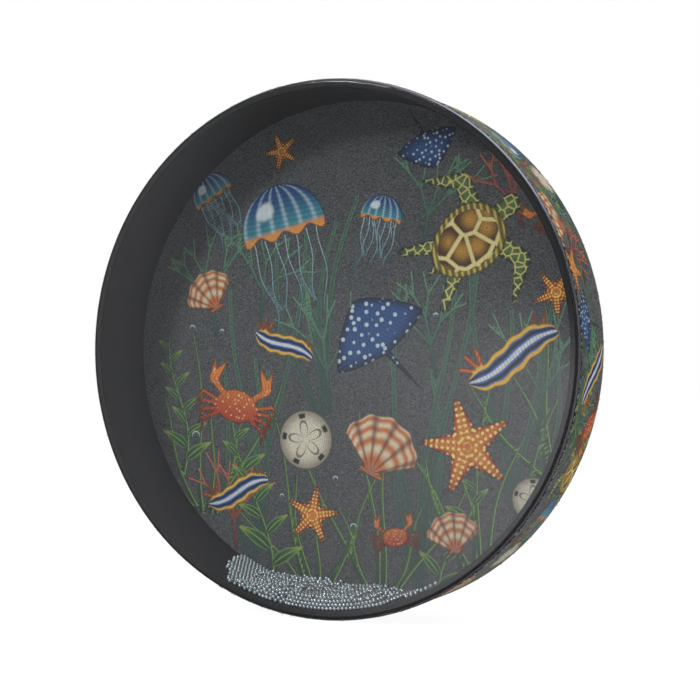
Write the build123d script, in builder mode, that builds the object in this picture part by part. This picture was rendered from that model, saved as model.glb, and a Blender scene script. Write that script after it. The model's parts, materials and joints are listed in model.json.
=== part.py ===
"""Ocean drum: a shallow closed drum with loose steel beads between its two heads.

The drum stands on its rim, +Z up. Its axis lies along Y, the clear front head faces -Y,
the printed rear head faces +Y, and the origin is the centre of the drum.
"""

import os
from math import asin, degrees, floor, sqrt

from build123d import *

# Driving dimensions, in millimetres and degrees

# Shell: a wound fibreboard ring with rounded bearing edges
shell_outer_radius = 202.1
shell_wall = 6.35
shell_depth = 62.8
bearing_edge_radius = 2.2
inner_edge_radius = 1.0

# Heads: a clear film in front, a cloth-faced printed film at the rear
front_film = 0.35
rear_film = 0.35
skirt_length = 14.0
glue_line = 0.1

# Wrap: a strip of printed cloth round the outside, with a butt seam
wrap_cloth = 0.6
wrap_inset = 3.6
wrap_clearance = 0.05
seam_gap = 0.5
seam_angle = 200.0

# Beads: steel shot that lies along the bottom of the chamber, in rows side by side
bead_diameter = 3.175
bead_clearance = 0.05
running_clearance = 0.3
pile_half_angle = 12.0
rows_per_drift = 4

# Sizes that follow from the driving dimensions

shell_inner_radius = shell_outer_radius - shell_wall
skirt_inner_radius = shell_outer_radius + glue_line
skirt_bend_radius = bearing_edge_radius + glue_line
wrap_inner_radius = skirt_inner_radius + max(front_film, rear_film) + wrap_clearance
wrap_mid_radius = wrap_inner_radius + wrap_cloth / 2
wrap_width = shell_depth - 2 * wrap_inset

bead_radius = bead_diameter / 2
bead_circle_radius = shell_inner_radius - running_clearance - bead_radius
bead_spacing = bead_diameter + bead_clearance
bead_step_angle = 2 * degrees(asin(bead_spacing / 2 / bead_circle_radius))
beads_per_row = 2 * floor(pile_half_angle / bead_step_angle) + 1
row_angle = (beads_per_row - 1) * bead_step_angle
row_spacing = bead_spacing * sqrt(3) / 2
drift_width = (rows_per_drift - 1) * row_spacing + bead_diameter
drift_count = floor(shell_depth / (drift_width + running_clearance))
drift_spacing = shell_depth / drift_count

# A curve whose two handles go this share of the way to a square corner is a quarter circle
round_handle = 4 / 3 * (sqrt(2) - 1)

os.makedirs("parts", exist_ok=True)


def write_piece(piece, name):
    """Label a finished piece with its node's name and write it as one STEP file."""
    piece.label = name
    export_step(piece, f"parts/{name}.step")


def rounded_section(corners):
    """Draw a closed section from square corners, each given as (radius, height, rounding)."""
    points = [Vector(radius, height) for radius, height, _ in corners]
    ends = []
    for number, (_, _, rounding) in enumerate(corners):
        corner = points[number]
        before = points[number - 1]
        after = points[(number + 1) % len(points)]
        start = corner + (before - corner).normalized() * rounding
        end = corner + (after - corner).normalized() * rounding
        ends.append((start, end))
        if rounding:
            start_handle = start + (corner - start) * round_handle
            end_handle = end + (corner - end) * round_handle
            Bezier(start, start_handle, end_handle, end)
    for number, (_, end) in enumerate(ends):
        Line(end, ends[(number + 1) % len(ends)][0])


# Shell: a wall section with its four edges rounded, turned about the drum's axis

with BuildPart() as shell:
    with BuildSketch():
        with BuildLine():
            rounded_section(
                [
                    (shell_inner_radius, -shell_depth / 2, inner_edge_radius),
                    (shell_outer_radius, -shell_depth / 2, bearing_edge_radius),
                    (shell_outer_radius, shell_depth / 2, bearing_edge_radius),
                    (shell_inner_radius, shell_depth / 2, inner_edge_radius),
                ]
            )
        make_face()
    revolve(axis=Axis.Y)

write_piece(shell.part, "shell")


# Heads: a flat disc on the bearing edge, bent over it and down the outside as a skirt


def stretched_head(film, side):
    """One head; side is -1 for the front of the drum and +1 for the rear."""
    rim = side * shell_depth / 2
    face = rim + side * film
    hem = rim - side * skirt_length
    skirt_outer_radius = skirt_inner_radius + film
    with BuildPart() as head:
        with BuildSketch():
            with BuildLine():
                rounded_section(
                    [
                        (0, rim, 0),
                        (skirt_inner_radius, rim, skirt_bend_radius),
                        (skirt_inner_radius, hem, 0),
                        (skirt_outer_radius, hem, 0),
                        (skirt_outer_radius, face, skirt_bend_radius + film),
                        (0, face, 0),
                    ]
                )
            make_face()
        revolve(axis=Axis.Y)
    return head.part


write_piece(stretched_head(front_film, -1), "front_head")
write_piece(stretched_head(rear_film, 1), "rear_head")


# Wrap: a cloth sleeve over both skirts, open along its butt seam

with BuildPart() as shell_wrap:
    with BuildSketch() as strip:
        with Locations((wrap_mid_radius, 0)):
            Rectangle(wrap_cloth, wrap_width)
    revolve(axis=Axis.Y)
    with BuildSketch(Plane.XZ):
        with PolarLocations(wrap_mid_radius, 1, start_angle=seam_angle):
            Rectangle(2 * wrap_cloth, seam_gap)
    extrude(amount=wrap_width, both=True, mode=Mode.SUBTRACT)

write_piece(shell_wrap.part, "shell_wrap")


# Beads: rows on the inside of the shell, every second row half a bead along, so that
# the rows of one drift nest; neighbouring drifts run past each other

for drift in range(drift_count):
    drift_middle = (drift + 0.5) * drift_spacing - shell_depth / 2
    for row in range(rows_per_drift):
        row_middle = drift_middle + (row - (rows_per_drift - 1) / 2) * row_spacing
        stagger = bead_step_angle / 4 * (-1) ** row
        with BuildPart(Plane.XZ.offset(-row_middle)) as bead_row:
            with PolarLocations(
                bead_circle_radius,
                beads_per_row,
                start_angle=-90 - row_angle / 2 + stagger,
                angular_range=row_angle,
                endpoint=True,
            ):
                Sphere(bead_radius)
        write_piece(bead_row.part, f"bead_row_{drift * rows_per_drift + row + 1:02d}")
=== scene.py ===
"""Ocean drum: a shallow drum with a clear front head, a printed rear head and loose steel beads.

The drum stands on its rim with its axis along Y and its clear head towards -Y. Shapes are
worked out in millimetres as numpy arrays and go into the meshes in metres.
"""

import json
from math import asin, cos, pi, radians, sin, sqrt, tan

import bpy
import numpy as np
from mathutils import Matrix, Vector


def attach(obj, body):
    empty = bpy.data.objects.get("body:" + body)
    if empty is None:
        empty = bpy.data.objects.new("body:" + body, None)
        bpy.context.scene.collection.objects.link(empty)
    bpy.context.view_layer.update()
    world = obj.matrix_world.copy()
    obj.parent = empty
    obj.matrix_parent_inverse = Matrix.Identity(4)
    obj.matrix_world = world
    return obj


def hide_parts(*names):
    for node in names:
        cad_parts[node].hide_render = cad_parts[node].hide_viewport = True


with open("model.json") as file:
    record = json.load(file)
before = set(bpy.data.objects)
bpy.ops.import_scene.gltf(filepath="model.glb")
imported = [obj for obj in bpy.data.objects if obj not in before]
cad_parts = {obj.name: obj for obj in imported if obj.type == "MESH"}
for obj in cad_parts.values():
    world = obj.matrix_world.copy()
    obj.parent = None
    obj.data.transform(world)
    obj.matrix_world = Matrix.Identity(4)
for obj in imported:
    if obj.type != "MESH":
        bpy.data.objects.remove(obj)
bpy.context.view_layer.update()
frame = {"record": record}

MM = 0.001

# Sizes from the frame, in millimetres

mounts = {mount["name"]: mount for mount in frame["record"]["mounts"]}
DRUM_RADIUS = mounts["shell_outside"]["dims"]["r_mm"]
WRAP_WIDTH = mounts["shell_outside"]["dims"]["length_mm"]
HALF_DEPTH = mounts["rear_head_face"]["pos_m"][1] / MM

# Sizes of the layers, in millimetres and degrees

WRAP_CLOTH = 0.6
WRAP_CLEARANCE = 0.05
SEAM_GAP = 0.5
SEAM_ANGLE = 200.0
FILM = 0.35
GLUE_LINE = 0.1
SKIRT_LENGTH = 14.0
SHELL_WALL = 6.35
BEARING_EDGE = 2.2
BLACK_EDGE = 1.4
INNER_EDGE = 1.0
FILM_SEAT = 0.06
SCUFF_START = 0.8
# Where the pale band of painted reflection on the film's bend starts past the flat, and how wide
# its fade is
REFLECTION_OFFSET = 1.6
REFLECTION_FADE = 0.5
BEAD_DIAMETER = 3.175
BEAD_CLEARANCE = 0.05
RUNNING_CLEARANCE = 0.3
DRIFTS = 5
ROWS_PER_DRIFT = 4

WRAP_INNER = DRUM_RADIUS - WRAP_CLOTH
SKIRT_OUTER = WRAP_INNER - WRAP_CLEARANCE
SKIRT_INNER = SKIRT_OUTER - FILM
SHELL_OUTER = SKIRT_INNER - GLUE_LINE
SHELL_INNER = SHELL_OUTER - SHELL_WALL
RIM = HALF_DEPTH - FILM
BEND_INNER = BEARING_EDGE + GLUE_LINE
BEND_OUTER = BEND_INNER + FILM
FLAT_RADIUS = SKIRT_OUTER - BEND_OUTER
BEAD_RADIUS = BEAD_DIAMETER / 2
BEAD_CIRCLE = SHELL_INNER - RUNNING_CLEARANCE - BEAD_RADIUS
DRIFT_WIDTH = 2 * RIM / DRIFTS
REFLECTION_START = FLAT_RADIUS + REFLECTION_OFFSET


# Meshes


def grid_quads(rows, columns, ring_rows=False, ring_columns=False):
    """Corner numbers of each cell of a grid of points counted row by row.

    A ring joins its last line of points to its first.
    """
    row = np.arange(rows if ring_rows else rows - 1)
    column = np.arange(columns if ring_columns else columns - 1)
    row, column = np.meshgrid(row, column, indexing="ij")
    next_row = (row + 1) % rows
    next_column = (column + 1) % columns
    corners = (
        row * columns + column,
        next_row * columns + column,
        next_row * columns + next_column,
        row * columns + next_column,
    )
    return np.stack(corners, -1).reshape(-1, 4)


def closed_volume(points, faces):
    """Six times the volume inside closed faces: the sum of a.(b x c) over fans of triangles."""
    total = 0.0
    for corner in range(1, faces.shape[1] - 1):
        a, b, c = (points[faces[:, k]] for k in (0, corner, corner + 1))
        total += np.einsum("ij,ij->", a, np.cross(b, c))
    return total


def new_object(name, data):
    """An object in the scene that holds a mesh, a lamp or a camera."""
    made = bpy.data.objects.new(name, data)
    bpy.context.scene.collection.objects.link(made)
    return made


def make_piece(name, points, face_sets, finish, body, nodes=(), crease=40.0):
    """A piece from points in millimetres and arrays of corner numbers, riding on a body.

    Faces that enclose a negative volume are turned right side out. Edges sharper than the
    crease angle, in degrees, stay hard.
    """
    if sum(closed_volume(points, faces) for faces in face_sets) < 0:
        face_sets = [faces[:, ::-1] for faces in face_sets]
    corners = np.concatenate([faces.ravel() for faces in face_sets])
    sizes = np.concatenate([np.full(len(faces), faces.shape[1]) for faces in face_sets])
    mesh = bpy.data.meshes.new(name)
    mesh.vertices.add(len(points))
    mesh.vertices.foreach_set("co", (points * MM).astype(np.float32).ravel())
    mesh.loops.add(len(corners))
    mesh.loops.foreach_set("vertex_index", corners.astype(np.int32))
    mesh.polygons.add(len(sizes))
    mesh.polygons.foreach_set("loop_start", (np.cumsum(sizes) - sizes).astype(np.int32))
    mesh.update(calc_edges=True)
    mesh.shade_smooth()
    mesh.set_sharp_from_angle(angle=radians(crease))
    mesh.materials.append(finish)
    piece = new_object(name, mesh)
    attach(piece, body)
    if nodes:
        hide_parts(*nodes)
    return piece


def add_fields(piece, fields):
    """Stores three numbers a point for each named field, for the materials to read."""
    for name, values in fields.items():
        attribute = piece.data.attributes.new(name, "FLOAT_VECTOR", "POINT")
        attribute.data.foreach_set("vector", values.astype(np.float32).ravel())


def arc(centre, radius, start, end, steps):
    """Points (radius, y) on a circle about a centre, from one angle in degrees to another."""
    angle = np.radians(np.linspace(start, end, steps))
    return np.stack((centre[0] + radius * np.cos(angle), centre[1] + radius * np.sin(angle)), -1)


def round_axis(radius, angle, y):
    """Points (radius cos a, y, radius sin a) at a radius and an angle round the drum's axis."""
    return np.stack((radius * np.cos(angle), y, radius * np.sin(angle)), -1)


def turned(outline, steps):
    """Rings of points: each outline point (radius, y) goes once round the axis."""
    angle = np.arange(steps) * (2 * pi / steps)
    radius, y = outline[:, :1], outline[:, 1:]
    return round_axis(radius, angle, np.repeat(y, steps, axis=1)).reshape(-1, 3)


def disc(cells):
    """Points of a disc of radius 1 on a square grid, with as many cells a side as given.

    A point (a, b) of the square, |b| <= |a|, goes to radius a at the angle (pi / 4) b / a, and
    the other half of the square likewise, so squares about the centre become circles. The
    second array lists the edge points anticlockwise from the angle 0.
    """
    line = np.linspace(-1, 1, cells + 1)
    a, b = (part.ravel() for part in np.meshgrid(line, line, indexing="ij"))
    wide = np.abs(a) >= np.abs(b)
    radius = np.where(wide, a, b)
    share = np.where(wide, b, a) / np.where(radius == 0, 1, radius)
    angle = np.where(wide, share * pi / 4, pi / 2 - share * pi / 4)
    points = np.stack((radius * np.cos(angle), radius * np.sin(angle)), -1)
    edge = np.flatnonzero(np.maximum(np.abs(a), np.abs(b)) > 1 - 1e-9)
    turn = np.round(np.arctan2(points[edge, 1], points[edge, 0]) / (pi / 2 / cells))
    return points, edge[np.argsort(turn.astype(int) % (4 * cells))]


def ripple(position, length, waves, size, rng):
    """A wavy line that meets itself after a length: a sum of sines with random phases."""
    total = np.zeros_like(position)
    for wave in waves:
        total += np.sin(2 * pi * wave * position / length + rng.uniform(0, 2 * pi))
    return size * total / sqrt(len(waves))


# Materials


def linear(screen):
    """A linear colour from three screen values between 0 and 255."""
    screen = np.array(screen) / 255
    bright = ((screen + 0.055) / 1.055) ** 2.4
    return tuple(float(value) for value in np.where(screen <= 0.04045, screen / 12.92, bright))


def operator(operation, swapped=False):
    """A method of Wire that adds a Math node, with its two values swapped for reflected forms."""

    def method(self, *others):
        values = (*others, self) if swapped else (self, *others)
        return self.finish.math(operation, *values)

    return method


class Wire:
    """One shader socket. Operators between wires and numbers add Math nodes."""

    def __init__(self, finish, socket):
        self.finish = finish
        self.socket = socket

    __add__, __radd__ = operator("ADD"), operator("ADD", swapped=True)
    __sub__, __rsub__ = operator("SUBTRACT"), operator("SUBTRACT", swapped=True)
    __mul__, __rmul__ = operator("MULTIPLY"), operator("MULTIPLY", swapped=True)
    __truediv__ = operator("DIVIDE")
    __pow__ = operator("POWER")
    __mod__ = operator("FLOORED_MODULO")
    __abs__ = operator("ABSOLUTE")


class Finish:
    """The node tree of a material or of the world, written as expressions on wires."""

    def __init__(self, owner):
        self.owner = owner
        owner.use_nodes = True
        self.tree = owner.node_tree
        self.tree.nodes.clear()

    def node(self, kind, settings=None, inputs=None, output=0):
        """Adds a node by type. Settings come first, then a value or wire for each input."""
        made = self.tree.nodes.new("ShaderNode" + kind)
        for name, value in (settings or {}).items():
            setattr(made, name, value)
        for name, value in (inputs or {}).items():
            socket = made.inputs[name]
            if isinstance(value, Wire):
                self.tree.links.new(value.socket, socket)
            elif isinstance(value, tuple) and socket.type == "RGBA":
                socket.default_value = (*value, 1.0)
            else:
                socket.default_value = value
        return Wire(self, made.outputs[output]) if made.outputs else made

    def math(self, operation, *values):
        """A Math node of wires and numbers."""
        return self.node("Math", {"operation": operation}, dict(enumerate(values)))

    def place(self):
        """The place on the object, in metres."""
        return self.node("TexCoord", output="Object")

    def parts(self, vector):
        """The three numbers of a vector."""
        return [self.node("SeparateXYZ", inputs={0: vector}, output=axis) for axis in range(3)]

    def field(self, name):
        """The three numbers of a named field of the mesh."""
        return self.parts(self.node("Attribute", {"attribute_name": name}, output="Vector"))

    def mix(self, share, first, second):
        """A colour that goes from the first to the second as the share goes from 0 to 1. Each
        is a wire or three screen values."""
        first, second = (linear(c) if isinstance(c, tuple) else c for c in (first, second))
        return self.node("Mix", {"data_type": "RGBA"}, {0: share, 6: first, 7: second}, 2)

    def layers(self, colour, *tints):
        """Lays tints on a colour one after another, each given as its share and its colour."""
        for share, tint in tints:
            colour = self.mix(share, colour, tint)
        return colour

    def step(self, value, start, end):
        """0 before start, 1 past end, and a smooth rise between; start may be above end."""
        settings = {"interpolation_type": "SMOOTHSTEP"}
        return self.node("MapRange", settings, {0: value, 1: start, 2: end, 3: 0.0, 4: 1.0})

    def waves(self, value, pitch):
        """A sine between 0 and 1 that repeats after a pitch."""
        return 0.5 + 0.5 * self.math("SINE", value * (2 * pi / pitch))

    def grains(self, size, stretch):
        """The place on the object counted in grains of a size in millimetres, stretched
        along the axes."""
        counts = tuple(1.0 / (size * MM * along) for along in stretch)
        return self.node("VectorMath", {"operation": "MULTIPLY"}, {0: self.place(), 1: counts})

    def noise(self, size, detail=2.0, stretch=(1.0, 1.0, 1.0)):
        """Noise between 0 and 1 in grains of a size."""
        inputs = {"Vector": self.grains(size, stretch), "Scale": 1.0, "Detail": detail}
        return self.node("TexNoise", inputs=inputs)

    def flecks(self, size, stretch):
        """A random number from 0 to 1 for each of many small cells of a size."""
        inputs = {"Vector": self.grains(size, stretch), "Scale": 1.0}
        return self.parts(self.node("TexVoronoi", inputs=inputs, output="Color"))[0]

    def cells(self, across, share, scale, feature):
        """Distance in a pattern of irregular cells over a motif's own coordinates."""
        place = self.node("CombineXYZ", inputs={0: across, 1: share, 2: 0.37})
        settings = {"voronoi_dimensions": "3D", "feature": feature}
        inputs = {"Vector": place, "Scale": scale, "Randomness": 0.7}
        return self.node("TexVoronoi", settings, inputs)

    def bump(self, strength, height):
        """Normals over hills a fifth of a millimetre high at most."""
        inputs = {"Strength": strength, "Distance": 0.2 * MM, "Height": height}
        return self.node("Bump", inputs=inputs)

    def blend(self, share, first, second):
        """A shader that goes from the first to the second as the share goes from 0 to 1."""
        return self.node("MixShader", inputs={0: share, 1: first, 2: second})

    def surface(self, shader):
        """Sends a shader to the output and gives back the material."""
        self.node("OutputMaterial", inputs={"Surface": shader})
        return self.owner

    def solid(self, inputs):
        """A material of one Principled shader with these inputs."""
        return self.surface(self.node("BsdfPrincipled", inputs=inputs))


def new_finish(name):
    """The node tree of a new material."""
    return Finish(bpy.data.materials.new(name))


# Print: each kind of motif is a field over the cloth, and its material paints from that field

FAR = 40.0
CORAL_LEVELS = 4
STROKES = ("weed", "grass", "coral", "tentacle", "bubble")
TWO_PARTS = {"jelly": ("tentacle", "bell"), "turtle": ("skin", "carapace")}


def taper(x, y, start, end, start_half, end_half):
    """A tapered bar: distance from the line between two points, less a half width that runs
    from one value to another; with it the signed distance across and the share along."""
    dx, dy = end[0] - start[0], end[1] - start[1]
    length = np.hypot(dx, dy)
    along = ((x - start[0]) * dx + (y - start[1]) * dy) / length**2
    share = np.clip(along, 0, 1)
    across = ((x - start[0]) * dy - (y - start[1]) * dx) / length
    gap = np.hypot(x - start[0] - share * dx, y - start[1] - share * dy)
    return gap - (start_half + (end_half - start_half) * share), across, share


def joined_bars(x, y, bars):
    """The nearest of several tapered bars."""
    return np.min([taper(x, y, *bar)[0] for bar in bars], axis=0)


def star(x, y):
    """Five tapered arms: the angle is folded into one arm, which narrows towards its tip."""
    angle = np.arctan2(x, y)
    folded = np.abs((angle + pi / 5) % (2 * pi / 5) - pi / 5)
    radius = np.hypot(x, y)
    along, across = radius * np.cos(folded), radius * np.sin(folded)
    return taper(across, along, (0, 0), (0, 0.94), 0.34, 0.06)[0], across, along


def scallop(x, y):
    """A fan about its hinge: a rim with a lobe for each rib, two straight sides and two ears."""
    angle = np.arctan2(x, y + 0.8)
    radius = np.hypot(x, y + 0.8)
    rim = 1.62 * np.cos(0.62 * angle) + 0.03 * np.cos(16 * angle)
    fan = np.maximum(radius - rim, 0.8 * radius * (np.abs(angle) - 1.0))
    ears = np.maximum(np.abs(x) - 0.36, np.abs(y + 0.74) - 0.09)
    return np.minimum(fan, ears), angle, radius / rim


def bell(x, y):
    """A jellyfish bell: the top of an ellipse above a scalloped margin."""
    dome = 0.6 * (np.hypot(x / 0.66, y / 0.62) - 1)
    margin = 0.05 * np.cos(16 * x) - 0.1 - y
    half = 0.66 * np.sqrt(np.clip(1 - (y / 0.62) ** 2, 0.05, 1))
    return np.maximum(dome, margin), x / half, y


def tentacles(x, y):
    """Seven lines that hang from the bell and sway more as they fall; the nearest one counts."""
    line = np.arange(-3, 4)[:, None]
    middle = 0.17 * line * (1 + 0.12 * y) - 0.07 * y * np.sin(5.5 * y + 1.7 * line)
    across = x - middle
    nearest = np.argmin(np.abs(across), axis=0)[None]
    across = np.take_along_axis(across, nearest, 0)[0]
    end = -1.25 - 0.35 * np.cos(2.1 * (nearest[0] - 3))
    return np.max((np.abs(across), y + 0.12, end - y), axis=0), across, -y / 1.6


def carapace(x, y):
    """A turtle's shell: an ellipse that narrows towards the tail."""
    half = 0.47 * (1 + 0.22 * np.clip(y, -0.7, 0.7))
    return 0.47 * (np.hypot(x / half, y / 0.6) - 1), x, y


def turtle_skin(x, y):
    """A turtle's flippers, head and tail: tapered bars, mirrored left and right."""
    side = np.abs(x)
    bars = (
        ((0.30, 0.34), (0.70, 0.46), 0.14, 0.13),
        ((0.70, 0.46), (1.08, 0.02), 0.13, 0.03),
        ((0.26, -0.44), (0.50, -0.84), 0.11, 0.06),
        ((0.0, 0.45), (0.0, 0.80), 0.12, 0.15),
        ((0.0, -0.50), (0.0, -0.74), 0.07, 0.02),
    )
    return joined_bars(side, y, bars), x, y


def crab(x, y):
    """A broad shell with four bent legs and a claw of two fingers on each side."""
    side = np.abs(x)
    body = 0.36 * (np.hypot(x / 0.52, y / 0.36) - 1)
    bars = [
        ((0.36, 0.2), (0.66, 0.46), 0.08, 0.09),
        ((0.66, 0.48), (0.44, 0.88), 0.13, 0.03),
        ((0.68, 0.50), (0.72, 0.92), 0.10, 0.02),
    ]
    for leg in range(4):
        knee = (0.88 - 0.05 * leg, 0.16 - 0.19 * leg)
        bars.append(((0.42, 0.02 - 0.08 * leg), knee, 0.06, 0.05))
        bars.append((knee, (1.04 - 0.09 * leg, -0.16 - 0.22 * leg), 0.05, 0.015))
    return np.minimum(body, joined_bars(side, y, bars)), x, y


def dollar(x, y):
    """A round flat test."""
    return np.hypot(x, y) - 1, x, y


def ray(x, y):
    """A ray: a rounded kite with swept wings, and a long thin tail."""
    swept = np.abs(y + 0.3 * np.abs(x) ** 1.5 - 0.1) / 0.58
    kite = (np.abs(x) ** 1.3 + swept**1.3) ** (1 / 1.3) - 1
    tail = taper(x, y, (0.0, -0.4), (0.22, -1.5), 0.06, 0.015)[0]
    return np.minimum(0.55 * kite, tail), x, y


def slug(x, y):
    """A long body about a wavy middle line, with two horns at its head and a tuft of gills."""
    middle = 0.14 * np.sin(2.4 * x)
    half = 0.30 * np.sqrt(np.clip(1 - (x / 1.02) ** 2, 0.0, 1)) + 0.012
    half = half + 0.022 * np.sin(15 * x)
    across = y - middle
    body = np.maximum(np.abs(across) - half, np.abs(x) - 1.02)
    horns = joined_bars(
        x,
        y,
        (
            ((0.72, 0.22), (0.92, 0.5), 0.05, 0.03),
            ((0.62, 0.24), (0.70, 0.56), 0.05, 0.03),
            ((-0.66, 0.0), (-0.86, 0.38), 0.05, 0.05),
            ((-0.62, 0.0), (-0.62, 0.42), 0.05, 0.05),
            ((-0.7, 0.0), (-1.06, 0.2), 0.05, 0.05),
        ),
    )
    return np.minimum(body, horns), across / half, x


def leaf(x, y):
    """A blade along x from 0 to 1: a bent middle line, widest before its middle."""
    across = y - 0.24 * x * x
    half = 0.16 * np.sin(pi * np.clip(x, 0, 1) ** 0.7) + 0.004
    beyond = np.maximum(-x, x - 1)
    return np.maximum(np.abs(across) - half, beyond), across / np.maximum(half, 0.03), x


def mirrored_leaf(x, y):
    """The blade bent the other way."""
    return leaf(x, -y)


def bubble(x, y):
    """A ring of radius 1; the distance across is from the ring."""
    across = np.hypot(x, y) - 1
    return np.abs(across), across, y


class Print:
    """Motifs over a cloth. Each field holds, at every point of the cloth, the distance in
    millimetres to the nearest motif's edge, negative inside, and two of its coordinates."""

    def __init__(self, u, v, around=None):
        self.u, self.v, self.around = u, v, around
        self.fields = {kind: np.tile((FAR, FAR, 0.0), (u.size, 1)) for kind in MOTIFS}

    def stamp(self, kind, shape, at, size, turn=0.0, reach=1.8):
        """Puts a shape at a place, scaled to a size in millimetres and turned in degrees. It
        is worked out only for points within its reach, counted in sizes."""
        u, v = self.u - at[0], self.v - at[1]
        if self.around:
            u = (u + self.around / 2) % self.around - self.around / 2
        near = np.flatnonzero(np.maximum(np.abs(u), np.abs(v)) < reach * size)
        along, aside = cos(radians(turn)) / size, sin(radians(turn)) / size
        x = u[near] * along + v[near] * aside
        y = v[near] * along - u[near] * aside
        gap, across, share = shape(x, y)
        gap = gap * size
        if kind in STROKES:
            across = across * size
        field = self.fields[kind]
        nearer = gap < field[near, 0]
        field[near[nearer]] = np.stack((gap, across, share), -1)[nearer]

    def animal(self, kind, at, size, turn=0.0):
        """Stamps each part of an animal."""
        for part in TWO_PARTS.get(kind, (kind,)):
            self.stamp(part, MOTIFS[part][0], at, size, turn)

    def strand(self, kind, at, height, lean, sway, phase, turn=0.0):
        """A swaying line: u = lean t + sway sin(5 t + phase) over the share t of its height."""

        def middle(share):
            return lean * share + sway * (np.sin(5 * share + phase) - sin(phase))

        def shape(x, y):
            share = np.clip(y / height, 0, 1)
            slope = (lean + 5 * sway * np.cos(5 * share + phase)) / height
            across = (x - middle(share)) / np.sqrt(1 + slope**2)
            return np.max((np.abs(across), -y, y - height), axis=0), across, share

        self.stamp(kind, shape, at, 1.0, turn, height * 1.15)
        return middle

    def kelp(self, at, height, lean, sway, blade, rng, turn=0.0):
        """A swaying stalk with blades to both sides that shorten towards the tip."""
        middle = self.strand("grass", at, height, lean, sway, rng.uniform(0, 6), turn)
        along, aside = cos(radians(turn)), sin(radians(turn))
        side = 1
        for share in np.arange(0.08, 0.99, 0.42 * blade / height):
            x, y = middle(share), share * height
            foot = (at[0] + x * along - y * aside, at[1] + x * aside + y * along)
            size = blade * (1.15 - 0.65 * share) * rng.uniform(0.85, 1.15)
            angle = 90 + turn - side * rng.uniform(28, 52)
            self.stamp("kelp", leaf if side < 0 else mirrored_leaf, foot, size, angle)
            side = -side

    def coral(self, at, heading, length, rng, tone=0, level=0):
        """A fan of twigs: each one forks into shorter ones, turned to the sides."""
        angle = radians(heading)
        step = (-sin(angle) * length, cos(angle) * length)

        def shape(x, y):
            gap, across, share = taper(x, y, (0, 0), step, 0.0, 0.0)
            return gap, across, tone + 0.97 * (level + share) / CORAL_LEVELS

        self.stamp("coral", shape, at, 1.0, 0.0, length + 6)
        if level < CORAL_LEVELS - 1:
            tip = (at[0] + step[0], at[1] + step[1])
            for fork in (-20, 17) if level else (-36, -4, 31):
                bend = heading + fork + rng.uniform(-10, 10)
                self.coral(tip, bend, length * rng.uniform(0.7, 1.0), rng, tone, level + 1)


# Paints of the motifs, from the distance to the edge and two coordinates of each motif

INK = (16, 18, 20)


def area_over(f, under, paint, gap, grain, inked):
    """Lays paint on what is under it, inside a motif's edge, with a dark drawn outline."""
    rough = gap + 0.8 * (grain - 0.5)
    if inked:
        paint = f.mix(0.75 * f.step(rough, -1.5, -0.5), paint, INK)
    return f.mix(f.step(rough, 0.3, -0.3), under, paint)


def line_over(f, under, paint, gap, across, half, strength, ink):
    """Lays a painted line of a half width in millimetres, with an outline as dark as the ink."""
    beyond = abs(across) - half
    near = f.step(gap - half, 1.6, 1.0)
    under = f.mix(ink * near * f.step(beyond, 1.2, 0.2), under, INK)
    return f.mix(strength * near * f.step(beyond, 0.35, -0.25), under, paint)


def paint_weed(f, across, share, grain):
    """Wide soft ribbons of dim teal with speckled edges, paler and greener at the tip."""
    half = 2.7 - 1.1 * share
    edges = f.step(abs(across) / half, 0.4, 0.95)
    pale = f.mix(share, (66, 104, 92), (130, 168, 106))
    colour = f.mix(0.6 * edges, f.mix(share, (44, 76, 72), (74, 116, 98)), pale)
    return colour, half, 0.3 + 0.65 * f.step(grain, 0.4, 0.6)


def paint_grass(f, across, share, grain):
    """Long blades that taper to a bright tip, dark green with one lit edge."""
    half = 0.35 + 1.5 * (1 - share)
    lit = 0.8 * f.step(across / half, 0.0, 0.8)
    colour = f.mix(lit, f.mix(share, (24, 62, 50), (84, 132, 62)), (152, 186, 92))
    return colour, half, 0.55 + 0.45 * f.step(grain, 0.35, 0.55)


def paint_coral(f, across, share, grain):
    """Twigs that thin out and grow pale: tone 0 from teal to green, tone 1 from rust to
    salmon. The tone is the whole part of the share."""
    along = share % 1.0
    teal = f.mix(along, (34, 76, 70), (112, 160, 124))
    rust = f.mix(along, (110, 42, 40), (210, 118, 92))
    colour = f.mix(f.step(share, 0.98, 1.0), teal, rust)
    return colour, 1.2 - 0.6 * along, 0.4 + 0.6 * f.step(grain, 0.35, 0.6)


def paint_tentacle(f, across, share, grain):
    """Hanging lines that fade from pale blue to teal."""
    colour = f.mix(share, (176, 208, 214), (44, 110, 124))
    return colour, 0.45, 0.4 + 0.6 * f.step(grain, 0.35, 0.6)


def paint_bubble(f, across, share, grain):
    """Pale rings, brighter at the top."""
    colour = f.mix(f.step(share, -0.6, 0.8), (70, 104, 112), (206, 224, 226))
    return colour, 0.4, 0.5 + 0.5 * f.step(grain, 0.3, 0.6)


def paint_kelp(f, gap, across, share):
    """Blades from teal to yellow green, with a pale rib, side veins and pale edges."""
    side = abs(across)
    return f.layers(
        f.mix(share, (22, 62, 54), (78, 130, 62)),
        (f.step(share, 0.55, 1.0), (176, 190, 88)),
        (0.5 * f.waves(share - 0.3 * side, 0.15), (14, 40, 34)),
        (0.6 * (f.step(side, 0.2, 0.08) + 0.7 * f.step(side, 0.6, 0.9)), (150, 182, 100)),
    )


def paint_bell(f, gap, across, share):
    """A teal and blue bell with pale ribs, an orange margin and a soft highlight."""
    shine = (across + 0.4) * (across + 0.4) + (share - 0.3) * (share - 0.3) * 4
    return f.layers(
        f.mix(f.step(share, -0.1, 0.5), (62, 150, 160), (32, 70, 128)),
        (0.6 * f.waves(across, 0.34) ** 4, (196, 222, 226)),
        (0.3 * f.waves(share + 0.06 * across, 0.07), (16, 40, 74)),
        (0.8 * f.step(shine, 0.09, 0.02), (232, 240, 240)),
        (f.step(share, 0.04, -0.06), (222, 146, 70)),
    )


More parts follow.
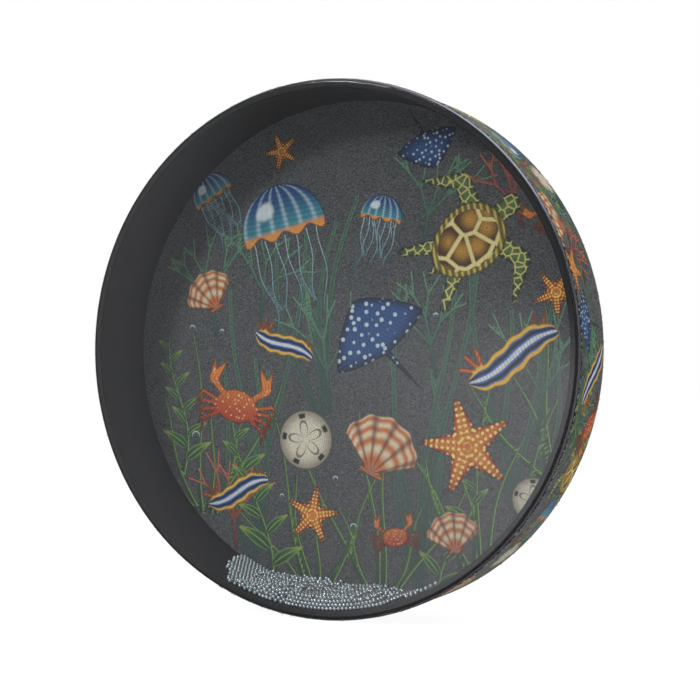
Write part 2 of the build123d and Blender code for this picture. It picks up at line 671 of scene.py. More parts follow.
def paint_star(f, gap, across, share):
    """Orange arms, red towards the edge, with rows of yellow dots."""
    along = share % 0.12 - 0.06
    aside = across % 0.13 - 0.065
    return f.layers(
        f.mix(f.step(gap, -6.0, -0.5), (222, 132, 44), (166, 52, 26)),
        (0.35 * f.waves(share - across, 0.09), (120, 40, 20)),
        (f.step(along * along + aside * aside, 0.0016, 0.0007), (244, 214, 110)),
    )


def paint_scallop(f, gap, across, share):
    """Cream and orange growth bands under dark lines between the ribs."""
    return f.layers(
        f.mix(f.waves(share * share, 0.26), (226, 208, 172), (200, 112, 56)),
        (0.75 * f.waves(across, pi / 8) ** 3, (96, 50, 34)),
        (0.6 * f.step(share, 0.3, 0.05), (150, 64, 40)),
    )


def paint_dollar(f, gap, across, share):
    """A cream disc with the outlines of five petals, five dark slits and grey shading."""
    radius = (across * across + share * share) ** 0.5
    petal = 0.62 * abs(f.math("COSINE", 2.5 * f.math("ARCTAN2", across, share)))
    drawn = f.step(abs(radius - petal), 0.07, 0.03) * f.step(radius, 0.08, 0.14)
    return f.layers(
        f.mix(f.step(radius, 0.5, 1.0), (228, 220, 196), (150, 142, 122)),
        (0.3 * f.waves(radius, 0.075), (110, 104, 90)),
        (0.8 * drawn, (86, 76, 60)),
        (f.step(abs(radius - 0.8), 0.1, 0.06) * f.step(petal, 0.56, 0.6), INK),
    )


def paint_slug(f, gap, across, share):
    """Blue with a pale back, black bands along it and a yellow frill; the horns are orange."""
    side = abs(across)
    return f.layers(
        f.mix(f.step(side, 0.1, 0.22), (226, 232, 236), (50, 98, 164)),
        (0.35 * f.waves(share, 0.07), (28, 56, 110)),
        (f.step(abs(side - 0.42), 0.14, 0.08), (24, 24, 28)),
        (f.step(side, 0.6, 0.72), (232, 184, 56)),
        (f.step(side, 1.02, 1.1), (222, 112, 44)),
    )


def paint_ray(f, gap, across, share):
    """Deep blue, darker at the edge, with pale spots and fine strokes along the wings."""
    return f.layers(
        f.mix(f.step(gap, -9.0, -0.5), (44, 86, 142), (26, 48, 84)),
        (0.4 * f.waves(abs(across) + 0.6 * share, 0.08), (16, 30, 62)),
        (0.85 * f.step(f.cells(across, share, 6.5, "F1"), 0.32, 0.2), (206, 222, 222)),
    )


def paint_skin(f, gap, across, share):
    """Olive scales with pale yellow joints."""
    joint = f.step(f.cells(across, share, 9.0, "DISTANCE_TO_EDGE"), 0.14, 0.05)
    scales = f.mix(f.step(gap, -6.0, 0.0), (88, 116, 66), (36, 66, 52))
    return f.mix(0.85 * joint, scales, (216, 202, 120))


def paint_carapace(f, gap, across, share):
    """Amber and brown plates with pale joints and a dark rim of small plates."""
    joint = f.step(f.cells(across, share, 3.1, "DISTANCE_TO_EDGE"), 0.12, 0.05)
    middle = f.cells(across, share, 3.1, "F1")
    rim = f.mix(f.waves(across + 2 * share, 0.2) ** 2, (96, 92, 44), (212, 184, 92))
    return f.layers(
        f.mix(f.step(middle, 0.1, 0.6), (200, 150, 62), (84, 58, 30)),
        (0.4 * f.waves(middle, 0.09), (58, 38, 22)),
        (joint, (230, 214, 146)),
        (f.step(gap, -5.0, -4.2), rim),
    )


def paint_crab(f, gap, across, share):
    """Red orange, paler on the claws and spotted with cream."""
    return f.layers(
        f.mix(f.step(share, -0.6, 0.9), (176, 48, 30), (236, 142, 58)),
        (0.8 * f.step(f.cells(across, share, 11.0, "F1"), 0.32, 0.2), (240, 212, 160)),
        (0.35 * f.waves(abs(across) + 0.5 * share, 0.08), (92, 22, 18)),
    )


# Motifs in the order in which they are laid on: the shape, unless it grows, and the paint

MOTIFS = {
    "weed": (None, paint_weed),
    "grass": (None, paint_grass),
    "coral": (None, paint_coral),
    "kelp": (None, paint_kelp),
    "tentacle": (tentacles, paint_tentacle),
    "bell": (bell, paint_bell),
    "star": (star, paint_star),
    "scallop": (scallop, paint_scallop),
    "dollar": (dollar, paint_dollar),
    "slug": (slug, paint_slug),
    "ray": (ray, paint_ray),
    "skin": (turtle_skin, paint_skin),
    "carapace": (carapace, paint_carapace),
    "crab": (crab, paint_crab),
    "bubble": (bubble, paint_bubble),
}


# Finishes

# The film's reflection seen head on, and where the pale painted reflection on its bend
# goes from faint to full, towards the right and upwards, in metres
FILM_GLOSS = 0.058
REFLECTION_RIGHT = (-0.02, 0.14)
REFLECTION_ABOVE = (0.07, 0.13)


def printed_cloth(name, dark, light, fleck, roughness, strength, ink, cut_edges=False):
    """Heathered cloth with the print on it: crossed flecks of light and dark thread, of a size
    in millimetres, motifs laid on at a strength with outlines as dark as the ink, and along
    cut edges a dark line that comes and goes."""
    f = new_finish(name)
    grain = f.noise(0.8, 3.0)
    specks = 0.55 * f.flecks(fleck, (2.2, 1.2, 0.8)) + 0.45 * f.flecks(fleck, (0.8, 1.2, 2.0))
    ground = f.mix(0.2 * f.noise(60.0), f.mix(specks**1.5, dark, light), dark)
    colour = ground
    for kind, (_, paint) in MOTIFS.items():
        gap, across, share = f.field(kind)
        if kind in STROKES:
            painted, half, cover = paint(f, across, share, grain)
            colour = line_over(f, colour, painted, gap, across, half, cover, ink)
        else:
            painted = paint(f, gap, across, share)
            colour = area_over(f, colour, painted, gap, grain, inked=kind != "kelp")
    colour = f.mix(strength + 0.5 * (specks - 0.5), ground, colour)
    if cut_edges:
        ragged = f.field("edge")[0] + 1.2 * (grain - 0.5)
        dashes = f.step(f.noise(3.0), 0.46, 0.56)
        colour = f.mix(0.9 * dashes * f.step(ragged, 1.0, 0.6), colour, INK)
    return f.solid(
        {
            "Base Color": colour,
            "Roughness": roughness,
            "Specular IOR Level": 0.1,
            "Sheen Weight": 0.02,
            "Sheen Roughness": 0.5,
            "Normal": f.bump(0.12, specks),
        }
    )


def wound_board():
    """Black dyed fibreboard: faint lines of its windings, pale scuffs and satin patches, with
    blacker bearing edges."""
    f = new_finish("wound_board")
    windings = f.noise(1.6, 3.0, (40.0, 1.0, 40.0))
    scuffs = f.step(f.noise(5.0, 4.0, (3.0, 1.0, 3.0)), 0.66, 0.8)
    _, y, _ = f.parts(f.place())
    edge = f.step(abs(y), (RIM - BEARING_EDGE) * MM, (RIM - BLACK_EDGE) * MM)
    colour = f.layers(
        f.mix(windings, (26, 27, 29), (37, 38, 41)),
        (0.25 * scuffs, (86, 86, 88)),
        (0.9 * edge, (14, 14, 15)),
    )
    return f.solid(
        {
            "Base Color": colour,
            "Roughness": 0.5 + 0.14 * f.noise(45.0),
            "Specular IOR Level": 0.12,
            "Normal": f.bump(0.2, windings),
        }
    )


def clear_film():
    """Clear glossy film: see-through, with a mirror reflection that grows at a slant from
    its value head on, g, as g + (1 - g) (1 - cos)^5, faint dust that catches light, a
    scuffed bend, and on the bend a pale band of painted reflection, standing in for bright
    light from the right and above, strongest on the upper right."""
    f = new_finish("clear_film")
    x, _, z = f.parts(f.place())
    radius = (x * x + z * z) ** 0.5
    # Painted reflection: a pale diffuse band on the bend, faint on the left and low down, full on
    # the upper right
    reflection_share = f.step(radius, REFLECTION_START * MM, (REFLECTION_START + REFLECTION_FADE) * MM)
    reflection_share = reflection_share * f.step(x, *REFLECTION_RIGHT) * (0.15 + 0.85 * f.step(z, *REFLECTION_ABOVE))
    slant = f.node("LayerWeight", inputs={"Blend": 0.5}, output="Facing")
    bent = f.step(radius, (FLAT_RADIUS - SCUFF_START) * MM, FLAT_RADIUS * MM)
    gloss = (FILM_GLOSS + (1 - FILM_GLOSS) * slant**5) * (1 - 0.92 * bent)
    dust = f.step(f.noise(1.4), 0.72, 0.8)
    clear = f.node("BsdfTransparent", inputs={"Color": (0.96, 0.965, 0.97)})
    # The pale colour of the painted reflection on the bend
    pale = f.mix(f.noise(4.0), (128, 128, 140), (184, 184, 200))
    painted_reflection = f.node("BsdfDiffuse", inputs={"Color": pale})
    mirror = f.node("BsdfAnisotropic", inputs={"Color": (0.96, 0.96, 1.0), "Roughness": 0.05})
    specks = f.node("BsdfDiffuse", inputs={"Color": (0.8, 0.8, 0.8)})
    film = f.blend(gloss, f.blend(0.9 * reflection_share, clear, painted_reflection), mirror)
    return f.surface(f.blend(0.003 + 0.03 * dust, film, specks))


def bead_steel():
    """Steel shot: bare metal with grey blue variation from bead to bead and dull patches."""
    f = new_finish("bead_steel")
    colour = f.mix(f.noise(6.0, 1.0), (150, 160, 166), (206, 214, 218))
    roughness = 0.24 + 0.12 * f.noise(2.2)
    return f.solid({"Base Color": colour, "Metallic": 0.8, "Roughness": roughness})


def raw_thread():
    """Undyed cotton ends, from white to straw."""
    f = new_finish("raw_thread")
    colour = f.mix(f.noise(9.0, 1.0), (120, 116, 108), (226, 220, 204))
    return f.solid({"Base Color": colour, "Roughness": 0.85})


# Shell

TURN_STEPS = 400
BEND_STEPS = 9
EDGE_STEPS = 7


def shell_outline():
    """The wall's section: a rectangle with round bearing edges, set back from the films."""
    top = RIM - FILM_SEAT
    outer, inner = SHELL_OUTER - BEARING_EDGE, SHELL_INNER + INNER_EDGE
    low, high = top - BEARING_EDGE, top - INNER_EDGE
    corners = (
        arc((outer, -low), BEARING_EDGE, -90, 0, BEND_STEPS),
        arc((outer, low), BEARING_EDGE, 0, 90, BEND_STEPS),
        arc((inner, high), INNER_EDGE, 90, 180, EDGE_STEPS),
        arc((inner, -high), INNER_EDGE, 180, 270, EDGE_STEPS),
    )
    return np.concatenate(corners)


outline = shell_outline()
make_piece(
    "drum_shell",
    turned(outline, TURN_STEPS),
    [grid_quads(len(outline), TURN_STEPS, ring_rows=True, ring_columns=True)],
    wound_board(),
    "drum",
    ["shell"],
)


# Clear front head

FILM_RINGS = (40, 80, 120, 160)


def head_section(side, face_radii):
    """A head's section from the middle of its inner face, round the bend and the hem of its
    skirt, and back to the middle of its outer face. The side is -1 in front and 1 behind."""
    rim, face = side * RIM, side * HALF_DEPTH
    hem = side * (RIM - SKIRT_LENGTH)
    bend = (FLAT_RADIUS, side * (RIM - BEND_INNER))
    radii = np.asarray(face_radii, float)
    runs = (
        np.stack((radii, np.full_like(radii, rim)), -1),
        arc(bend, BEND_INNER, side * 90, 0, BEND_STEPS),
        [(SKIRT_INNER, hem), (SKIRT_OUTER, hem)],
        arc(bend, BEND_OUTER, 0, side * 90, BEND_STEPS),
        np.stack((radii[::-1], np.full_like(radii, face)), -1),
    )
    return np.concatenate(runs)


def film_head():
    """The clear head: its section turned about the axis, closed by a fan at each middle."""
    section = head_section(-1, FILM_RINGS)
    rows = len(section)
    middles = np.array([(0, -RIM, 0), (0, -HALF_DEPTH, 0)])
    points = np.concatenate((turned(section, TURN_STEPS), middles))
    here = np.arange(TURN_STEPS)
    there = (here + 1) % TURN_STEPS
    last = (rows - 1) * TURN_STEPS
    middle = np.full(TURN_STEPS, rows * TURN_STEPS)
    inner_fan = np.stack((middle, here, there), -1)
    outer_fan = np.stack((middle + 1, last + there, last + here), -1)
    fans = np.concatenate((inner_fan, outer_fan))
    quads = grid_quads(rows, TURN_STEPS, ring_columns=True)
    return make_piece(
        "clear_head", points, [quads, fans], clear_film(), "drum", ["front_head"]
    )


film_head()


# Printed rear head

HEAD_CELLS = 200
BARE_SPOT = (-5, 166, 30)
BUBBLE_GAP = 6


def head_print(u, v):
    """The rear head's design: kelp, weed and coral rise from below, and sea animals float
    between them, each at its place in millimetres from the middle, with size and turn.
    Bubbles keep clear of the animals and of one bare spot."""
    rng = np.random.default_rng(11)
    design = Print(u, v)
    for at, height in (
        ((-90, -178), 250),
        ((58, -192), 260),
        ((140, -140), 190),
        ((-30, -60), 170),
    ):
        for lean in (-34, -14, 4, 22, 40):
            design.strand("weed", at, height * rng.uniform(0.6, 1.1), lean, 7, rng.uniform(0, 6))
    for foot in ((-136, -132), (-34, -190), (24, -192), (104, -166), (168, -96)):
        for lean in (-58, -34, -12, 10, 32, 56):
            at = (foot[0] + 0.2 * lean, foot[1])
            height = rng.uniform(60, 150)
            design.strand("grass", at, height, lean, 4, rng.uniform(0, 6))
    design.kelp((-72, -186), 150, -26, 9, 30, rng)
    design.kelp((72, -192), 100, 22, 8, 26, rng)
    design.kelp((-156, -100), 110, -6, 7, 24, rng)
    for at, heading, length, tone in (
        ((-20, -48), 6, 30, 0),
        ((152, -62), -6, 28, 0),
        ((-124, 12), 12, 27, 0),
        ((60, 78), -8, 25, 0),
        ((-84, 22), -8, 24, 0),
        ((70, -20), 10, 24, 0),
        ((-106, -160), 4, 21, 1),
        ((140, 92), 20, 20, 1),
    ):
        design.coral(at, heading, length, rng, tone)
    taken = [BARE_SPOT]
    for kind, at, size, turn in (
        ("jelly", (-62, 98), 58, 14),
        ("turtle", (96, 82), 55, -52),
        ("ray", (18, 14), 44, 34),
        ("star", (96, -74), 38, 14),
        ("slug", (132, -6), 40, 24),
        ("crab", (-106, -46), 38, -12),
        ("scallop", (24, -76), 30, -24),
        ("dollar", (-42, -72), 24, 10),
        ("jelly", (24, 104), 28, -12),
        ("star", (-36, -132), 24, -10),
        ("scallop", (-132, 48), 21, 30),
        ("slug", (-62, 4), 28, -28),
        ("star", (166, 42), 19, 40),
        ("dollar", (148, -112), 17, 0),
        ("ray", (64, 156), 26, 200),
        ("scallop", (84, -140), 20, 10),
        ("crab", (164, 108), 25, 60),
        ("scallop", (194, -48), 26, 80),
        ("slug", (-104, -116), 30, 16),
        ("jelly", (-128, 128), 30, 30),
        ("crab", (36, -146), 22, 8),
        ("star", (-64, 160), 17, 22),
    ):
        design.animal(kind, at, size, turn)
        taken.append((*at, size))
    middles = np.array(taken)
    for spot in rng.uniform(-150, 150, (60, 2)):
        gaps = np.hypot(*(middles[:, :2] - spot).T) - middles[:, 2]
        if gaps.min() > BUBBLE_GAP:
            design.animal("bubble", spot, rng.uniform(1.6, 4.2))
    return design.fields


def cloth_head():
    """The printed head: a disc grid for each face, joined by the bend and the skirt."""
    face, edge = disc(HEAD_CELLS)
    face = face * FLAT_RADIUS
    section = head_section(1, ())[1:-1]
    around = len(edge)
    faces = [np.insert(face, 1, y, axis=1) for y in (RIM, HALF_DEPTH)]
    points = np.concatenate((*faces, turned(section, around)))
    rings = 2 * len(face) + np.arange(len(section) * around).reshape(-1, around)
    rows = np.concatenate((edge[None], rings, edge[None] + len(face)))
    flat = grid_quads(HEAD_CELLS + 1, HEAD_CELLS + 1)
    bent = rows.ravel()[grid_quads(len(rows), around, ring_columns=True)]
    quads = np.concatenate((flat, flat[:, ::-1] + len(face), bent))
    finish = printed_cloth(
        "printed_head",
        dark=(29, 31, 33),
        light=(118, 121, 123),
        fleck=0.45,
        roughness=0.72,
        strength=0.82,
        ink=0.4,
    )
    head = make_piece(
        "printed_head", points, [quads], finish, "drum", ["rear_head"]
    )
    add_fields(head, head_print(points[:, 0], points[:, 2]))
    return head


printed_head = cloth_head()


# Printed wrap

WRAP_ROWS = 1150
WRAP_COLUMNS = 50
WRAP_LENGTH = 2 * pi * (DRUM_RADIUS - WRAP_CLOTH / 2) - SEAM_GAP
SKIRT_STEP = 0.2
STEP_RAMP = 1.6
CUT_INSET = 0.4
CUT_WAVER = 0.16
EDGE_ROUND = 0.55
EDGE_BAND = 1.0
EDGE_COLUMNS = (0.0, 0.06, 0.2, 0.4, 0.65)


def wrap_print(u, v):
    """The wrap's design: animals one after another along the strip, over weed, kelp and coral."""
    rng = np.random.default_rng(23)
    design = Print(u, v, around=WRAP_LENGTH + SEAM_GAP)
    for at in np.arange(6, WRAP_LENGTH, 32):
        turn = rng.choice((-90, 90)) + rng.uniform(-40, 40)
        foot = (at, rng.uniform(-28, 28))
        for lean in (-14, 0, 14):
            kind = rng.choice(("weed", "weed", "grass"))
            design.strand(kind, foot, rng.uniform(26, 60), lean, 9, rng.uniform(0, 6), turn)
    for at in np.arange(30, WRAP_LENGTH, 104):
        turn = rng.choice((-90, 90)) + rng.uniform(-30, 30)
        design.kelp((at, rng.uniform(-24, 24)), 58, 8, 4, 20, rng, turn)
    for at in np.arange(20, WRAP_LENGTH, 44):
        design.coral((at, -27), rng.uniform(-60, 60), 14, rng, int(rng.uniform(0, 1.3)))
    kinds = ("star", "jelly", "slug", "scallop", "turtle", "ray", "dollar", "crab")
    sizes = {"jelly": 30, "turtle": 28, "slug": 28, "ray": 26, "dollar": 16}
    for number, at in enumerate(np.arange(16, WRAP_LENGTH, 38)):
        kind = kinds[number * 3 % len(kinds)]
        size = sizes.get(kind, 22) * rng.uniform(0.85, 1.15)
        design.animal(kind, (at, rng.uniform(-22, 22)), size, rng.uniform(0, 360))
    return design.fields


def wrap_edges(along):
    """Where the strip's front and rear edges lie: straight cuts that waver a little."""
    rng = np.random.default_rng(31)
    waves = (5, 13, 29, 61, 97)
    front = ripple(along, WRAP_LENGTH, waves, CUT_WAVER, rng)
    rear = ripple(along, WRAP_LENGTH, waves, CUT_WAVER, rng)
    return CUT_INSET - WRAP_WIDTH / 2 + front, WRAP_WIDTH / 2 - CUT_INSET + rear


def wrap_angle(along):
    """The angle round the drum of a place along the strip, which starts at the seam."""
    gap = SEAM_GAP / 2 / DRUM_RADIUS
    return radians(SEAM_ANGLE) + gap + along / WRAP_LENGTH * (2 * pi - 2 * gap)


def cloth_wrap():
    """The strip: its outer face is a grid along and across, a little higher where the heads'
    skirts lie under it and round along both edges; two lines of points make its inner face,
    and the seam ends are shut."""
    along = np.linspace(0, WRAP_LENGTH, WRAP_ROWS + 1)[:, None]
    front, rear = wrap_edges(along)
    inset = np.array([EDGE_COLUMNS])
    across = np.linspace(0, 1, WRAP_COLUMNS + 1)[None]
    inside = front + EDGE_BAND + (rear - front - 2 * EDGE_BAND) * across
    y = np.concatenate((front + inset, inside, rear - inset[:, ::-1]), axis=1)
    hem = RIM - SKIRT_LENGTH
    sunk = np.clip((hem + STEP_RAMP / 2 - np.abs(y)) / STEP_RAMP, 0, 1)
    outer = DRUM_RADIUS - SKIRT_STEP * sunk * sunk * (3 - 2 * sunk)
    beside = np.clip(EDGE_ROUND - np.minimum(y - front, rear - y), 0, EDGE_ROUND)
    outer = outer - EDGE_ROUND + np.sqrt(EDGE_ROUND**2 - beside**2)
    inner = np.full_like(along, WRAP_INNER)
    radius = np.concatenate((outer, inner, inner), axis=1)
    y = np.concatenate((y, rear, front), axis=1)
    points = round_axis(radius, wrap_angle(along), y)
    columns = points.shape[1]
    ends = np.arange(columns)[None]
    last = (WRAP_ROWS * columns + ends)[:, ::-1]
    quads = grid_quads(WRAP_ROWS + 1, columns, ring_columns=True)
    finish = printed_cloth(
        "printed_wrap",
        dark=(23, 24, 26),
        light=(134, 135, 137),
        fleck=0.8,
        roughness=0.68,
        strength=0.92,
        ink=0.95,
        cut_edges=True,
    )
    wrap = make_piece(
        "printed_wrap",
        points.reshape(-1, 3),
        [quads, np.concatenate((ends, last))],
        finish,
        "drum",
        ["shell_wrap"],
    )
    u = np.broadcast_to(along, y.shape).ravel()
    edge = np.minimum(y - front, rear - y).ravel()
    fields = wrap_print(u, y.ravel())
    fields["edge"] = np.stack((edge, edge, edge), -1)
    add_fields(wrap, fields)
    return wrap


printed_wrap = cloth_wrap()


# Frayed ends along the cut edges of the wrap

FRAYS = 1300
FRAY_SIDES = 5
FRAY_RINGS = 5
FRAY_ROOT = 0.25
FRAY_LIMIT = HALF_DEPTH - 1.2


def frayed_ends():
    """Short curved threads: each starts under the cut edge and runs out past it. A thread is a
    tube, closed at both ends, about a curve that goes out with t, drifts along the edge with
    t^2 and lifts with sin(pi t), and it thins with the root of 1 - t^2."""
    rng = np.random.default_rng(47)
    each = (FRAYS, 1)
    place = rng.uniform(0, WRAP_LENGTH, each)
    front, rear = wrap_edges(place)
    side = np.where(np.arange(FRAYS)[:, None] % 3 == 0, 1.0, -1.0)
    edge = np.where(side > 0, rear, front)
    length = 0.5 + rng.gamma(1.6, 0.5, each)
    drift = rng.normal(0, 0.8, each)
    lift = rng.uniform(0.05, 0.6, each)
    thick = 0.08 + 0.3 * rng.uniform(0, 1, each) ** 3
    t = np.linspace(0, 1, FRAY_RINGS)
    s = (place + drift * t**2)[..., None]
    y = np.clip(edge - FRAY_ROOT * side + side * length * t, -FRAY_LIMIT, FRAY_LIMIT)
    r = (WRAP_INNER + FRAY_ROOT + lift * np.sin(pi * t))[..., None]
    girth = (thick * np.sqrt(1.02 - t**2))[..., None]
    turn = np.arange(FRAY_SIDES) * (2 * pi / FRAY_SIDES)
    r = r + girth * np.sin(turn)
    angle = wrap_angle(s + girth * np.cos(turn))
    points = round_axis(r, angle, np.repeat(y[..., None], FRAY_SIDES, axis=-1)).reshape(-1, 3)
    step = FRAY_RINGS * FRAY_SIDES
    first = np.arange(FRAYS)[:, None, None] * step
    quads = (grid_quads(FRAY_RINGS, FRAY_SIDES, ring_columns=True) + first).reshape(-1, 4)
    end = np.arange(FRAY_SIDES)
    ends = np.stack((end, (step - FRAY_SIDES + end)[::-1]))
    ends = (ends + first).reshape(-1, FRAY_SIDES)
    sets = []
    for faces in (quads, ends):
        flipped = np.repeat(side > 0, len(faces) // FRAYS, axis=0)
        sets.append(np.where(flipped, faces[:, ::-1], faces))
    return make_piece("wrap_frays", points, sets, raw_thread(), "drum", crease=80)


wrap_frays = frayed_ends()


# Beads

BEAD_SPACING = BEAD_DIAMETER + BEAD_CLEARANCE
BEAD_STEP = 2 * asin(BEAD_SPACING / 2 / BEAD_CIRCLE)
ROW_SPACING = BEAD_SPACING * sqrt(3) / 2
ROW_BEADS = 25
DRIFT_MARGIN = 0.06
BALL_SIDE = 4

# Beads that lie on the wall: how far up the left they reach and how much less in front, in
# degrees, how their rows waver, the share that is missing, the sparse row and the file
MAT_TOP = 30.7
MAT_FALL = 7.1
WAVER = 26.0
WAVER_SIZE = 0.4
MISSING = 0.05
SPARSE_START = radians(-8)
SPARSE_STEP = 1.45 * BEAD_STEP
SPARSE_END = radians(-7)
FILE_START = radians(20.5)
FILE_BEADS = 7
FILE_CLEARANCE = 0.1

# Loose beads: the grid that they start on, clear of the lying ones, and how they settle
LOOSE_BEADS = 370
LOOSE_X = np.arange(-95, 80, 3.4)
LOOSE_Y = np.linspace(-4.2, 4.2, 4)
LOOSE_Z = np.arange(-195, -160, 3.0)
SHAKE = 0.7
MAT_DEPTH = 2.4
MAT_END = radians(12)
PILE_SLOPE = tan(radians(3.0))
SINK = 0.12
SINK_SWEEPS = 200
SWEEPS = 260
PAIR_SWEEPS = 10
PARTINGS = 4
OVERSHOOT = 1.5
REACH = BEAD_DIAMETER + 1.4


def ball():
    """A bead of radius 1: a cube of three by three squares a side, pushed out to a sphere."""
    line = np.tan(np.linspace(-1, 1, BALL_SIDE) * pi / 4)
    a, b = np.meshgrid(line, line, indexing="ij")
    one = np.ones_like(a)
    sides = []
    for axis in range(3):
        for sign in (1, -1):
            sides.append(np.roll(np.stack((sign * one, a, sign * b), -1), axis, axis=-1))
    points = np.concatenate([side.reshape(-1, 3) for side in sides])
    points = points / np.linalg.norm(points, axis=1, keepdims=True)
    cells = grid_quads(BALL_SIDE, BALL_SIDE)
    quads = np.concatenate([cells + BALL_SIDE**2 * side for side in range(6)])
    points, same = np.unique(points.round(9), axis=0, return_inverse=True)
    return points, same.reshape(-1)[quads]


def on_wall(angle, y):
    """Bead centres on the wall, at an angle in radians from the lowest point towards +X."""
    return np.stack((BEAD_CIRCLE * np.sin(angle), y, -BEAD_CIRCLE * np.cos(angle)), -1)


def mat_top(y):
    """How far up the left wall the beads lie, in radians: most of all behind, and less from
    16 mm behind the middle on towards the clear head."""
    return np.radians(MAT_TOP - MAT_FALL * np.clip((16 - y) / 44, 0, 1) ** 1.4)


def lying_beads(rng):
    """Beads that lie on the wall: the rows of the frame, carried on up the left side in the
    same close pattern, which wavers, and a single file along the clear head on the right.
    The row next to the clear head is sparse on the left."""
    centres, drifts = [], []
    for drift in range(DRIFTS):
        middle = (drift + 0.5) * DRIFT_WIDTH - RIM
        phase = rng.uniform(0, 2 * pi)
        for row in range(ROWS_PER_DRIFT):
            level = middle + (row - (ROWS_PER_DRIFT - 1) / 2) * ROW_SPACING
            start = -(ROW_BEADS - 1) / 2 * BEAD_STEP + BEAD_STEP / 4 * (-1) ** row
            above = int((mat_top(level) + start) / BEAD_STEP + rng.uniform(-1.2, 0.8))
            angle = start + np.arange(-above, ROW_BEADS) * BEAD_STEP
            if drift + row == 0:
                sparse = SPARSE_START - np.arange(0, mat_top(level), SPARSE_STEP)
                angle = np.append(sparse[sparse > angle[0]], angle[angle > SPARSE_END])
            y = level + WAVER_SIZE * np.sin(angle * WAVER + phase)
            keep = (angle > start) | (rng.uniform(0, 1, angle.size) > MISSING)
            centres.append(on_wall(angle, y)[keep])
            drifts.append(np.full(keep.sum(), drift))
    file = FILE_START + np.cumsum(rng.uniform(1.2, 1.75, FILE_BEADS)) * BEAD_STEP
    centres.append(on_wall(file, np.full_like(file, BEAD_RADIUS + FILE_CLEARANCE - RIM)))
    drifts.append(np.zeros(file.size, int))
    return np.concatenate(centres), np.concatenate(drifts)


def keep_in_chamber(centres, drifts):
    """Moves centres back inside the shell and inside their drift's own width."""
    across = np.hypot(centres[:, 0], centres[:, 2])
    pull = np.minimum(1.0, BEAD_CIRCLE / across)
    centres[:, 0] *= pull
    centres[:, 2] *= pull
    middle = (drifts + 0.5) * DRIFT_WIDTH - RIM
    room = DRIFT_WIDTH / 2 - BEAD_RADIUS - DRIFT_MARGIN
    centres[:, 1] = np.clip(centres[:, 1], middle - room, middle + room)


def near_pairs(centres, drifts, reach):
    """Numbers of the pairs of beads of one drift that are nearer than a reach."""
    pairs = []
    for drift in range(DRIFTS):
        here = np.flatnonzero(drifts == drift)
        gap = np.linalg.norm(centres[here, None] - centres[None, here], axis=-1)
        first, second = np.nonzero(np.triu(gap < reach, 1))
        pairs.append(np.stack((here[first], here[second])))
    return np.concatenate(pairs, axis=1)


def part_beads(centres, pairs, free):
    """Moves each free bead of an overlapping pair half the overlap away from the other,
    averaged over the beads that it touches."""
    first, second = pairs
    apart = centres[second] - centres[first]
    gap = np.maximum(np.linalg.norm(apart, axis=1), 1e-6)
    overlap = np.maximum(BEAD_DIAMETER - gap, 0)
    touching = overlap > 0
    share = np.where(free[first] & free[second], 0.5, 1.0)
    push = apart * (overlap * share / gap)[:, None]
    count = len(centres)
    ends = np.concatenate((first[touching], second[touching]))
    touches = np.maximum(np.bincount(ends, minlength=count), 1)
    for axis in range(3):
        away = np.bincount(second, push[:, axis], count) - np.bincount(first, push[:, axis], count)
        centres[:, axis] += np.where(free, OVERSHOOT * away / touches, 0)


def settled_beads():
    """The pile: loose beads start on a shaken grid above the lying ones, sink along a pull
    that leans a little to the left, and push each other apart until they no longer overlap."""
    rng = np.random.default_rng(7)
    lying, lying_drifts = lying_beads(rng)
    grid = np.stack(np.meshgrid(LOOSE_X, LOOSE_Y, LOOSE_Z), -1).reshape(-1, 3)
    loose, loose_drifts = [], []
    for drift in range(DRIFTS):
        shaken = grid + rng.uniform(-SHAKE, SHAKE, grid.shape)
        shaken[:, 1] += (drift + 0.5) * DRIFT_WIDTH - RIM
        depth = BEAD_CIRCLE - np.hypot(shaken[:, 0], shaken[:, 2])
        on_right = np.arctan2(shaken[:, 0], -shaken[:, 2]) > MAT_END
        shaken = shaken[depth > np.where(on_right, 0.0, MAT_DEPTH)]
        height = shaken[:, 2] + PILE_SLOPE * shaken[:, 0]
        loose.append(shaken[np.argsort(height)[:LOOSE_BEADS]])
        loose_drifts.append(np.full(LOOSE_BEADS, drift))
    centres = np.concatenate((lying, *loose))
    drifts = np.concatenate((lying_drifts, *loose_drifts))
    free = np.arange(len(centres)) >= len(lying)
    pull = np.array((-PILE_SLOPE, 0.0, -1.0))
    for sweep in range(SWEEPS):
        if sweep % PAIR_SWEEPS == 0:
            pairs = near_pairs(centres, drifts, REACH)
        centres[free] += pull * (SINK * max(0.0, 1 - sweep / SINK_SWEEPS))
        for _ in range(PARTINGS):
            part_beads(centres, pairs, free)
            keep_in_chamber(centres, drifts)
    return centres, drifts


bead_centres, bead_drifts = settled_beads()
ball_points, ball_quads = ball()
steel = bead_steel()
for drift in range(DRIFTS):
    centres = bead_centres[bead_drifts == drift]
    points = centres[:, None] + BEAD_RADIUS * ball_points
    quads = ball_quads + np.arange(len(centres))[:, None, None] * len(ball_points)
    rows = range(drift * ROWS_PER_DRIFT + 1, (drift + 1) * ROWS_PER_DRIFT + 1)
    make_piece(
        f"beads_{drift + 1}",
        points.reshape(-1, 3),
        [quads.reshape(-1, 4)],
        steel,
        f"bead_drift_{drift + 1}",
        [f"bead_row_{row:02d}" for row in rows],
        crease=180,
    )


# Floor, light and camera

FLOOR_HALF = 6.0

# The room's brightness as a share of white: in front, what the far left and the low part
# add to that, and what it comes to on the right and behind
ROOM_FRONT = 0.09
ROOM_LEFT = 0.21
ROOM_LOW = 0.62
ROOM_RIGHT = 0.68
ROOM_BEHIND = 0.53


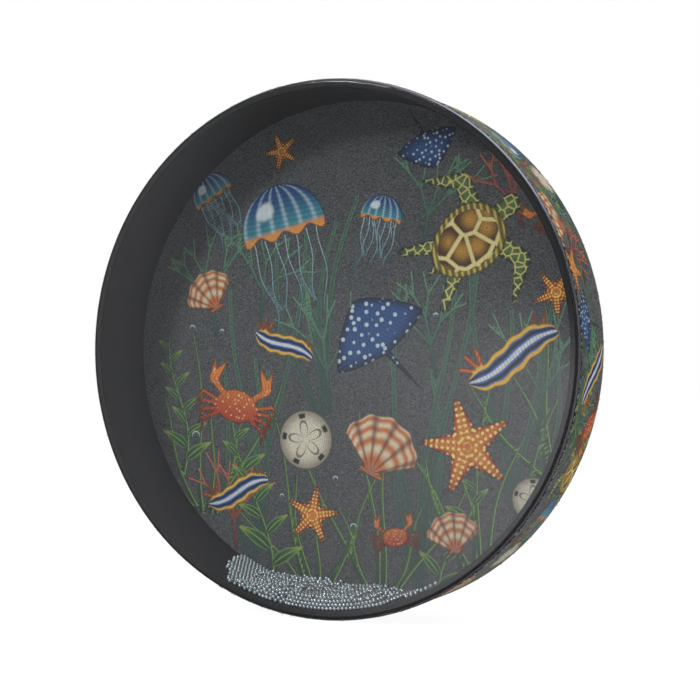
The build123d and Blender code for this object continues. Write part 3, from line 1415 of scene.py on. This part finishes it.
def studio_floor():
    """A large white square under the rim that keeps a faint shadow. Reflections take the
    world instead, which is as white as the floor low down."""
    f = new_finish("studio_floor")
    shown = f.node("LightPath", output="Is Camera Ray")
    white = f.node("Emission", inputs={"Color": (1.0, 1.0, 1.0), "Strength": 1.2})
    matte = f.node("BsdfDiffuse", inputs={"Color": (0.6, 0.6, 0.6)})
    turns = ((-1, -1), (1, -1), (1, 1), (-1, 1))
    corners = [(FLOOR_HALF * x, FLOOR_HALF * y, -DRUM_RADIUS * MM) for x, y in turns]
    mesh = bpy.data.meshes.new("floor")
    mesh.from_pydata(corners, [], [(0, 1, 2, 3)])
    mesh.materials.append(f.surface(f.blend(0.79 * shown, matte, white)))
    floor = new_object("floor", mesh)
    floor.visible_glossy = False


def studio_world():
    """White to the camera and, behind the object, to reflections too. In front lies a dim
    room that grows paler downwards, to the right and at the far left."""
    world = bpy.data.worlds.new("studio")
    bpy.context.scene.world = world
    f = Finish(world)
    x, y, z = f.parts(f.node("TexCoord", output="Generated"))
    behind = f.step(y, -0.3, 0.4)
    left = f.step(x, -0.46, -0.6)
    low = f.step(z + 0.13 * (x + 0.43), 0.09, -0.015) * f.step(x, -0.57, -0.245)
    right = f.step(x, -0.22, 0.3)
    front = ROOM_FRONT + ROOM_LEFT * left + ROOM_LOW * low
    front = front + (ROOM_RIGHT - front) * right
    room = front + (ROOM_BEHIND - front) * behind
    camera_ray, glossy_ray, through_ray = (
        f.node("LightPath", output=f"Is {kind} Ray")
        for kind in ("Camera", "Glossy", "Transmission")
    )
    mirrored = behind * f.math("MAXIMUM", glossy_ray, through_ray)
    shown = f.math("MAXIMUM", camera_ray, mirrored)
    strength = room + (1 - room) * shown
    light = f.node("Background", inputs={"Color": (1.0, 1.0, 1.0), "Strength": strength})
    f.node("OutputWorld", inputs={"Surface": light})


def aim(holder, place, target=(0, 0, 0)):
    """Puts a lamp or a camera at a place and points it at another, in metres."""
    holder.location = place
    look = Vector(target) - Vector(place)
    holder.rotation_euler = look.to_track_quat("-Z", "Y").to_euler()


def soft_lamp(name, place, size, power):
    """A square lamp aimed at the middle of the drum."""
    lamp = bpy.data.lights.new(name, "AREA")
    lamp.size = size
    lamp.energy = power
    aim(new_object(name, lamp), place)


studio_floor()
studio_world()
soft_lamp("key", (-1.13, -2.42, 1.36), 0.5, 46.0)
soft_lamp("high", (-0.45, -0.9, 1.45), 1.1, 19.0)
soft_lamp("side", (1.5, -0.2, 0.9), 0.8, 4.0)

CAMERA_PLACE = (0.4928, -1.0075, -0.0060)
CAMERA_TARGET = (0.00994, 0.00487, -0.0004)
lens = bpy.data.cameras.new("camera")
lens.sensor_width = 36.0
lens.lens = 75.07
camera = new_object("camera", lens)
aim(camera, CAMERA_PLACE, CAMERA_TARGET)
bpy.context.scene.camera = camera
bpy.context.scene.view_settings.view_transform = "Standard"
